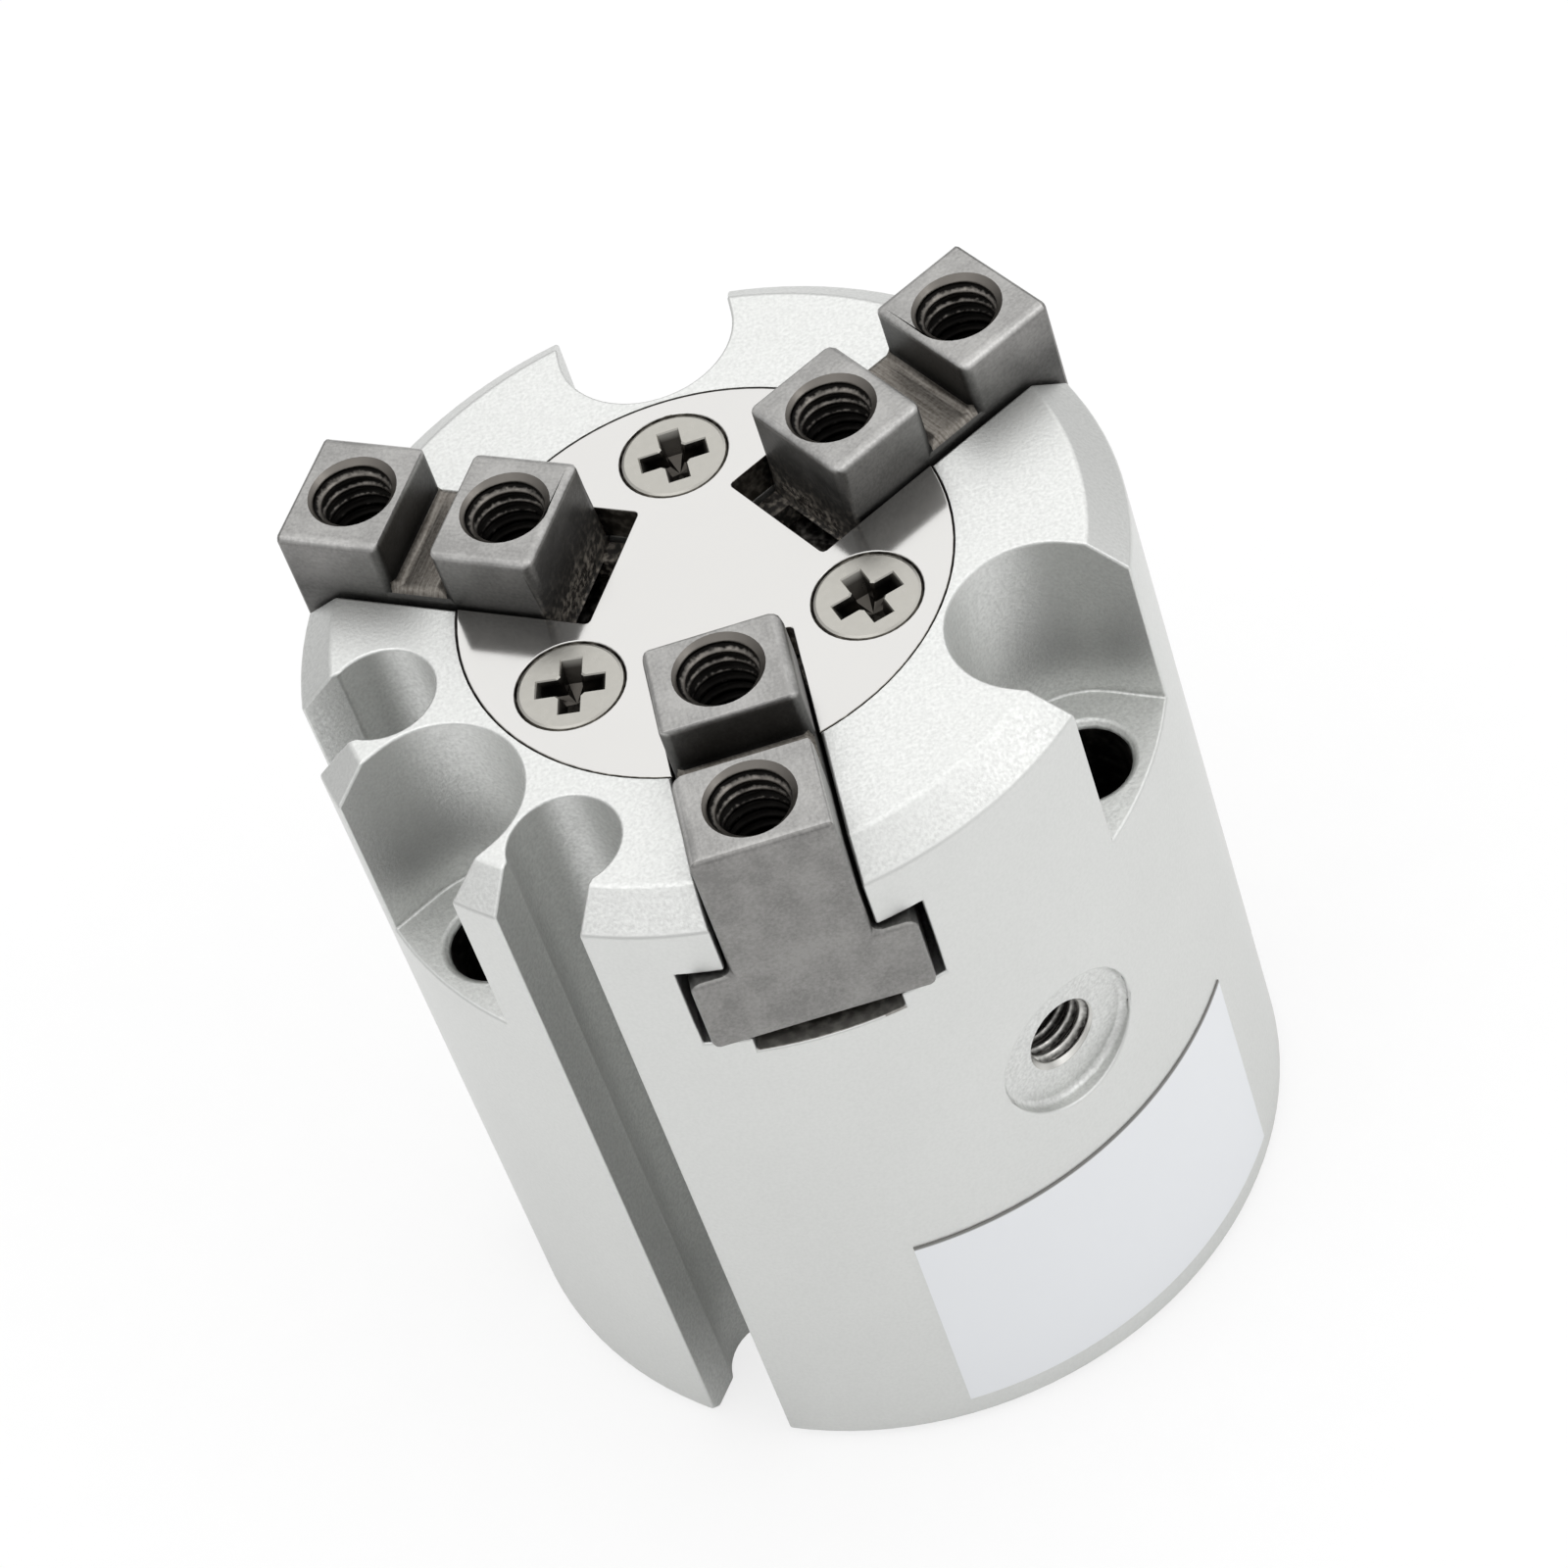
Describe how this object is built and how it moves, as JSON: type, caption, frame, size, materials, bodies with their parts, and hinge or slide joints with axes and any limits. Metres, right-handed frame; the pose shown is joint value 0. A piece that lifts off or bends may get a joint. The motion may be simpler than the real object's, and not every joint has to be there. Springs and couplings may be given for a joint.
{
  "type": "three jaw centric gripper",
  "caption": "Compact round air gripper: a piston-driven wedge cam slides its jaws in radial T-slots to grip round work.",
  "frame": {"origin": "centre of the mounting face at the foot of the body", "axes": "+Z along the cylinder's axis towards the jaws; -Y towards the front jaw"},
  "size_m": [0.03, 0.03, 0.0347],
  "materials": {
    "housing": "bead blasted, clear anodised",
    "plate_steel": "stainless steel, fine lapped",
    "screw_steel": "stainless steel screw",
    "jaw_steel": "hardened steel, ground and tumbled",
    "cam_steel": "hardened steel, ground",
    "rod_steel": "ground and polished steel",
    "piston_aluminium": "turned, anodised",
    "guide_plastic": "filled acetal",
    "magnet": "plastic bonded magnet",
    "seal_rubber": "nitrile rubber",
    "nut_steel": "zinc plated steel",
    "bush_bronze": "sintered bronze",
    "bumper_rubber": "urethane rubber",
    "cap_aluminium": "turned, clear anodised",
    "spring_steel": "phosphated spring steel"
  },
  "bodies": {
    "body": {"housing": "housing", "cover_plate": "plate_steel", "cover_screw_back": "screw_steel", "cover_screw_left": "screw_steel", "cover_screw_right": "screw_steel", "rod_bush": "bush_bronze", "seal_retainer": "nut_steel", "rod_seal": "seal_rubber", "upper_bumper": "bumper_rubber", "lower_bumper": "bumper_rubber", "end_cap": "cap_aluminium", "end_cap_seal": "seal_rubber", "retaining_ring": "spring_steel"},
    "piston_group": {"piston_rod": "rod_steel", "piston": "piston_aluminium", "piston_seal": "seal_rubber", "wear_ring": "guide_plastic", "magnet_ring": "magnet", "piston_nut": "nut_steel", "wedge_cam": "cam_steel", "cam_screw": "screw_steel"},
    "jaw_body_front": {"jaw_front": "jaw_steel"},
    "jaw_body_right": {"jaw_right": "jaw_steel"},
    "jaw_body_left": {"jaw_left": "jaw_steel"}
  },
  "joints": [
    {"name": "piston_slide", "type": "slide", "parent": "body", "child": "piston_group", "axis": [0, 0, 1], "range_m": [-0.0021, 0.0009]},
    {"name": "jaw_front_slide", "type": "slide", "parent": "body", "child": "jaw_body_front", "axis": [0, -1, 0], "range_m": [-0.0014, 0.0006]},
    {"name": "jaw_right_slide", "type": "slide", "parent": "body", "child": "jaw_body_right", "axis": [0.866, 0.5, 0], "range_m": [-0.0014, 0.0006]},
    {"name": "jaw_left_slide", "type": "slide", "parent": "body", "child": "jaw_body_left", "axis": [-0.866, 0.5, 0], "range_m": [-0.0014, 0.0006]}
  ],
  "couplings": [
    {"joint": "jaw_front_slide", "follows": "piston_slide", "ratio": 0.66667},
    {"joint": "jaw_right_slide", "follows": "piston_slide", "ratio": 0.66667},
    {"joint": "jaw_left_slide", "follows": "piston_slide", "ratio": 0.66667}
  ]
}
